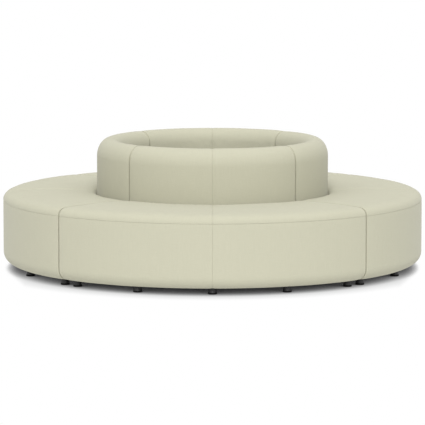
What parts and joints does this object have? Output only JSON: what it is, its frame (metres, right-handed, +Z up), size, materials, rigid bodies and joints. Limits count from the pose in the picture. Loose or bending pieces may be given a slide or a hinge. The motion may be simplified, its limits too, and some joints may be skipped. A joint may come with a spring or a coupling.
{
  "type": "round sofa",
  "caption": "Ring sofa for a waiting room: four ganged quarter-round modules with an upholstered seat and a backrest ring round an open middle, on black levelling glides.",
  "frame": {"origin": "on the floor at the ring's centre, under the axis of the open middle", "axes": "+Z up along the ring's axis; -Y towards the middle of the front module; +X to the right seen from the front"},
  "size_m": [2.4994, 2.4994, 0.772],
  "materials": {
    "upholstery": "pale greenish beige woven upholstery fabric, matt, with a fine vertical weave",
    "plywood": "raw birch plywood",
    "dust_cloth": "black non-woven cambric, matt",
    "black_nylon": "moulded black nylon, satin",
    "zinc_steel": "bright zinc plate"
  },
  "bodies": {
    "sofa": {"front_seat_cushion": "upholstery", "front_apron_upholstery": "upholstery", "front_backrest_upholstery": "upholstery", "front_base_board": "plywood", "front_seat_frame": "plywood", "front_seat_deck": "plywood", "front_back_frame": "plywood", "front_dust_cover": "dust_cloth", "right_seat_cushion": "upholstery", "right_apron_upholstery": "upholstery", "right_backrest_upholstery": "upholstery", "right_base_board": "plywood", "right_seat_frame": "plywood", "right_seat_deck": "plywood", "right_back_frame": "plywood", "right_dust_cover": "dust_cloth", "back_seat_cushion": "upholstery", "back_apron_upholstery": "upholstery", "back_backrest_upholstery": "upholstery", "back_base_board": "plywood", "back_seat_frame": "plywood", "back_seat_deck": "plywood", "back_back_frame": "plywood", "back_dust_cover": "dust_cloth", "left_seat_cushion": "upholstery", "left_apron_upholstery": "upholstery", "left_backrest_upholstery": "upholstery", "left_base_board": "plywood", "left_seat_frame": "plywood", "left_seat_deck": "plywood", "left_back_frame": "plywood", "left_dust_cover": "dust_cloth", "front_to_right_gang_plate": "zinc_steel", "right_to_back_gang_plate": "zinc_steel", "back_to_left_gang_plate": "zinc_steel", "left_to_front_gang_plate": "zinc_steel"},
    "front_glide_outer_1": {"front_glide_outer_1": "black_nylon"},
    "front_glide_outer_2": {"front_glide_outer_2": "black_nylon"},
    "front_glide_outer_3": {"front_glide_outer_3": "black_nylon"},
    "front_glide_outer_4": {"front_glide_outer_4": "black_nylon"},
    "front_glide_outer_5": {"front_glide_outer_5": "black_nylon"},
    "front_glide_inner": {"front_glide_inner": "black_nylon"},
    "right_glide_outer_1": {"right_glide_outer_1": "black_nylon"},
    "right_glide_outer_2": {"right_glide_outer_2": "black_nylon"},
    "right_glide_outer_3": {"right_glide_outer_3": "black_nylon"},
    "right_glide_outer_4": {"right_glide_outer_4": "black_nylon"},
    "right_glide_outer_5": {"right_glide_outer_5": "black_nylon"},
    "right_glide_inner": {"right_glide_inner": "black_nylon"},
    "back_glide_outer_1": {"back_glide_outer_1": "black_nylon"},
    "back_glide_outer_2": {"back_glide_outer_2": "black_nylon"},
    "back_glide_outer_3": {"back_glide_outer_3": "black_nylon"},
    "back_glide_outer_4": {"back_glide_outer_4": "black_nylon"},
    "back_glide_outer_5": {"back_glide_outer_5": "black_nylon"},
    "back_glide_inner": {"back_glide_inner": "black_nylon"},
    "left_glide_outer_1": {"left_glide_outer_1": "black_nylon"},
    "left_glide_outer_2": {"left_glide_outer_2": "black_nylon"},
    "left_glide_outer_3": {"left_glide_outer_3": "black_nylon"},
    "left_glide_outer_4": {"left_glide_outer_4": "black_nylon"},
    "left_glide_outer_5": {"left_glide_outer_5": "black_nylon"},
    "left_glide_inner": {"left_glide_inner": "black_nylon"}
  },
  "joints": [
    {"name": "front_glide_outer_1_height", "type": "slide", "parent": "sofa", "child": "front_glide_outer_1", "axis": [0, 0, 1], "range_m": [-0.0127, 0]},
    {"name": "front_glide_outer_2_height", "type": "slide", "parent": "sofa", "child": "front_glide_outer_2", "axis": [0, 0, 1], "range_m": [-0.0127, 0]},
    {"name": "front_glide_outer_3_height", "type": "slide", "parent": "sofa", "child": "front_glide_outer_3", "axis": [0, 0, 1], "range_m": [-0.0127, 0]},
    {"name": "front_glide_outer_4_height", "type": "slide", "parent": "sofa", "child": "front_glide_outer_4", "axis": [0, 0, 1], "range_m": [-0.0127, 0]},
    {"name": "front_glide_outer_5_height", "type": "slide", "parent": "sofa", "child": "front_glide_outer_5", "axis": [0, 0, 1], "range_m": [-0.0127, 0]},
    {"name": "front_glide_inner_height", "type": "slide", "parent": "sofa", "child": "front_glide_inner", "axis": [0, 0, 1], "range_m": [-0.0127, 0]},
    {"name": "right_glide_outer_1_height", "type": "slide", "parent": "sofa", "child": "right_glide_outer_1", "axis": [0, 0, 1], "range_m": [-0.0127, 0]},
    {"name": "right_glide_outer_2_height", "type": "slide", "parent": "sofa", "child": "right_glide_outer_2", "axis": [0, 0, 1], "range_m": [-0.0127, 0]},
    {"name": "right_glide_outer_3_height", "type": "slide", "parent": "sofa", "child": "right_glide_outer_3", "axis": [0, 0, 1], "range_m": [-0.0127, 0]},
    {"name": "right_glide_outer_4_height", "type": "slide", "parent": "sofa", "child": "right_glide_outer_4", "axis": [0, 0, 1], "range_m": [-0.0127, 0]},
    {"name": "right_glide_outer_5_height", "type": "slide", "parent": "sofa", "child": "right_glide_outer_5", "axis": [0, 0, 1], "range_m": [-0.0127, 0]},
    {"name": "right_glide_inner_height", "type": "slide", "parent": "sofa", "child": "right_glide_inner", "axis": [0, 0, 1], "range_m": [-0.0127, 0]},
    {"name": "back_glide_outer_1_height", "type": "slide", "parent": "sofa", "child": "back_glide_outer_1", "axis": [0, 0, 1], "range_m": [-0.0127, 0]},
    {"name": "back_glide_outer_2_height", "type": "slide", "parent": "sofa", "child": "back_glide_outer_2", "axis": [0, 0, 1], "range_m": [-0.0127, 0]},
    {"name": "back_glide_outer_3_height", "type": "slide", "parent": "sofa", "child": "back_glide_outer_3", "axis": [0, 0, 1], "range_m": [-0.0127, 0]},
    {"name": "back_glide_outer_4_height", "type": "slide", "parent": "sofa", "child": "back_glide_outer_4", "axis": [0, 0, 1], "range_m": [-0.0127, 0]},
    {"name": "back_glide_outer_5_height", "type": "slide", "parent": "sofa", "child": "back_glide_outer_5", "axis": [0, 0, 1], "range_m": [-0.0127, 0]},
    {"name": "back_glide_inner_height", "type": "slide", "parent": "sofa", "child": "back_glide_inner", "axis": [0, 0, 1], "range_m": [-0.0127, 0]},
    {"name": "left_glide_outer_1_height", "type": "slide", "parent": "sofa", "child": "left_glide_outer_1", "axis": [0, 0, 1], "range_m": [-0.0127, 0]},
    {"name": "left_glide_outer_2_height", "type": "slide", "parent": "sofa", "child": "left_glide_outer_2", "axis": [0, 0, 1], "range_m": [-0.0127, 0]},
    {"name": "left_glide_outer_3_height", "type": "slide", "parent": "sofa", "child": "left_glide_outer_3", "axis": [0, 0, 1], "range_m": [-0.0127, 0]},
    {"name": "left_glide_outer_4_height", "type": "slide", "parent": "sofa", "child": "left_glide_outer_4", "axis": [0, 0, 1], "range_m": [-0.0127, 0]},
    {"name": "left_glide_outer_5_height", "type": "slide", "parent": "sofa", "child": "left_glide_outer_5", "axis": [0, 0, 1], "range_m": [-0.0127, 0]},
    {"name": "left_glide_inner_height", "type": "slide", "parent": "sofa", "child": "left_glide_inner", "axis": [0, 0, 1], "range_m": [-0.0127, 0]}
  ]
}
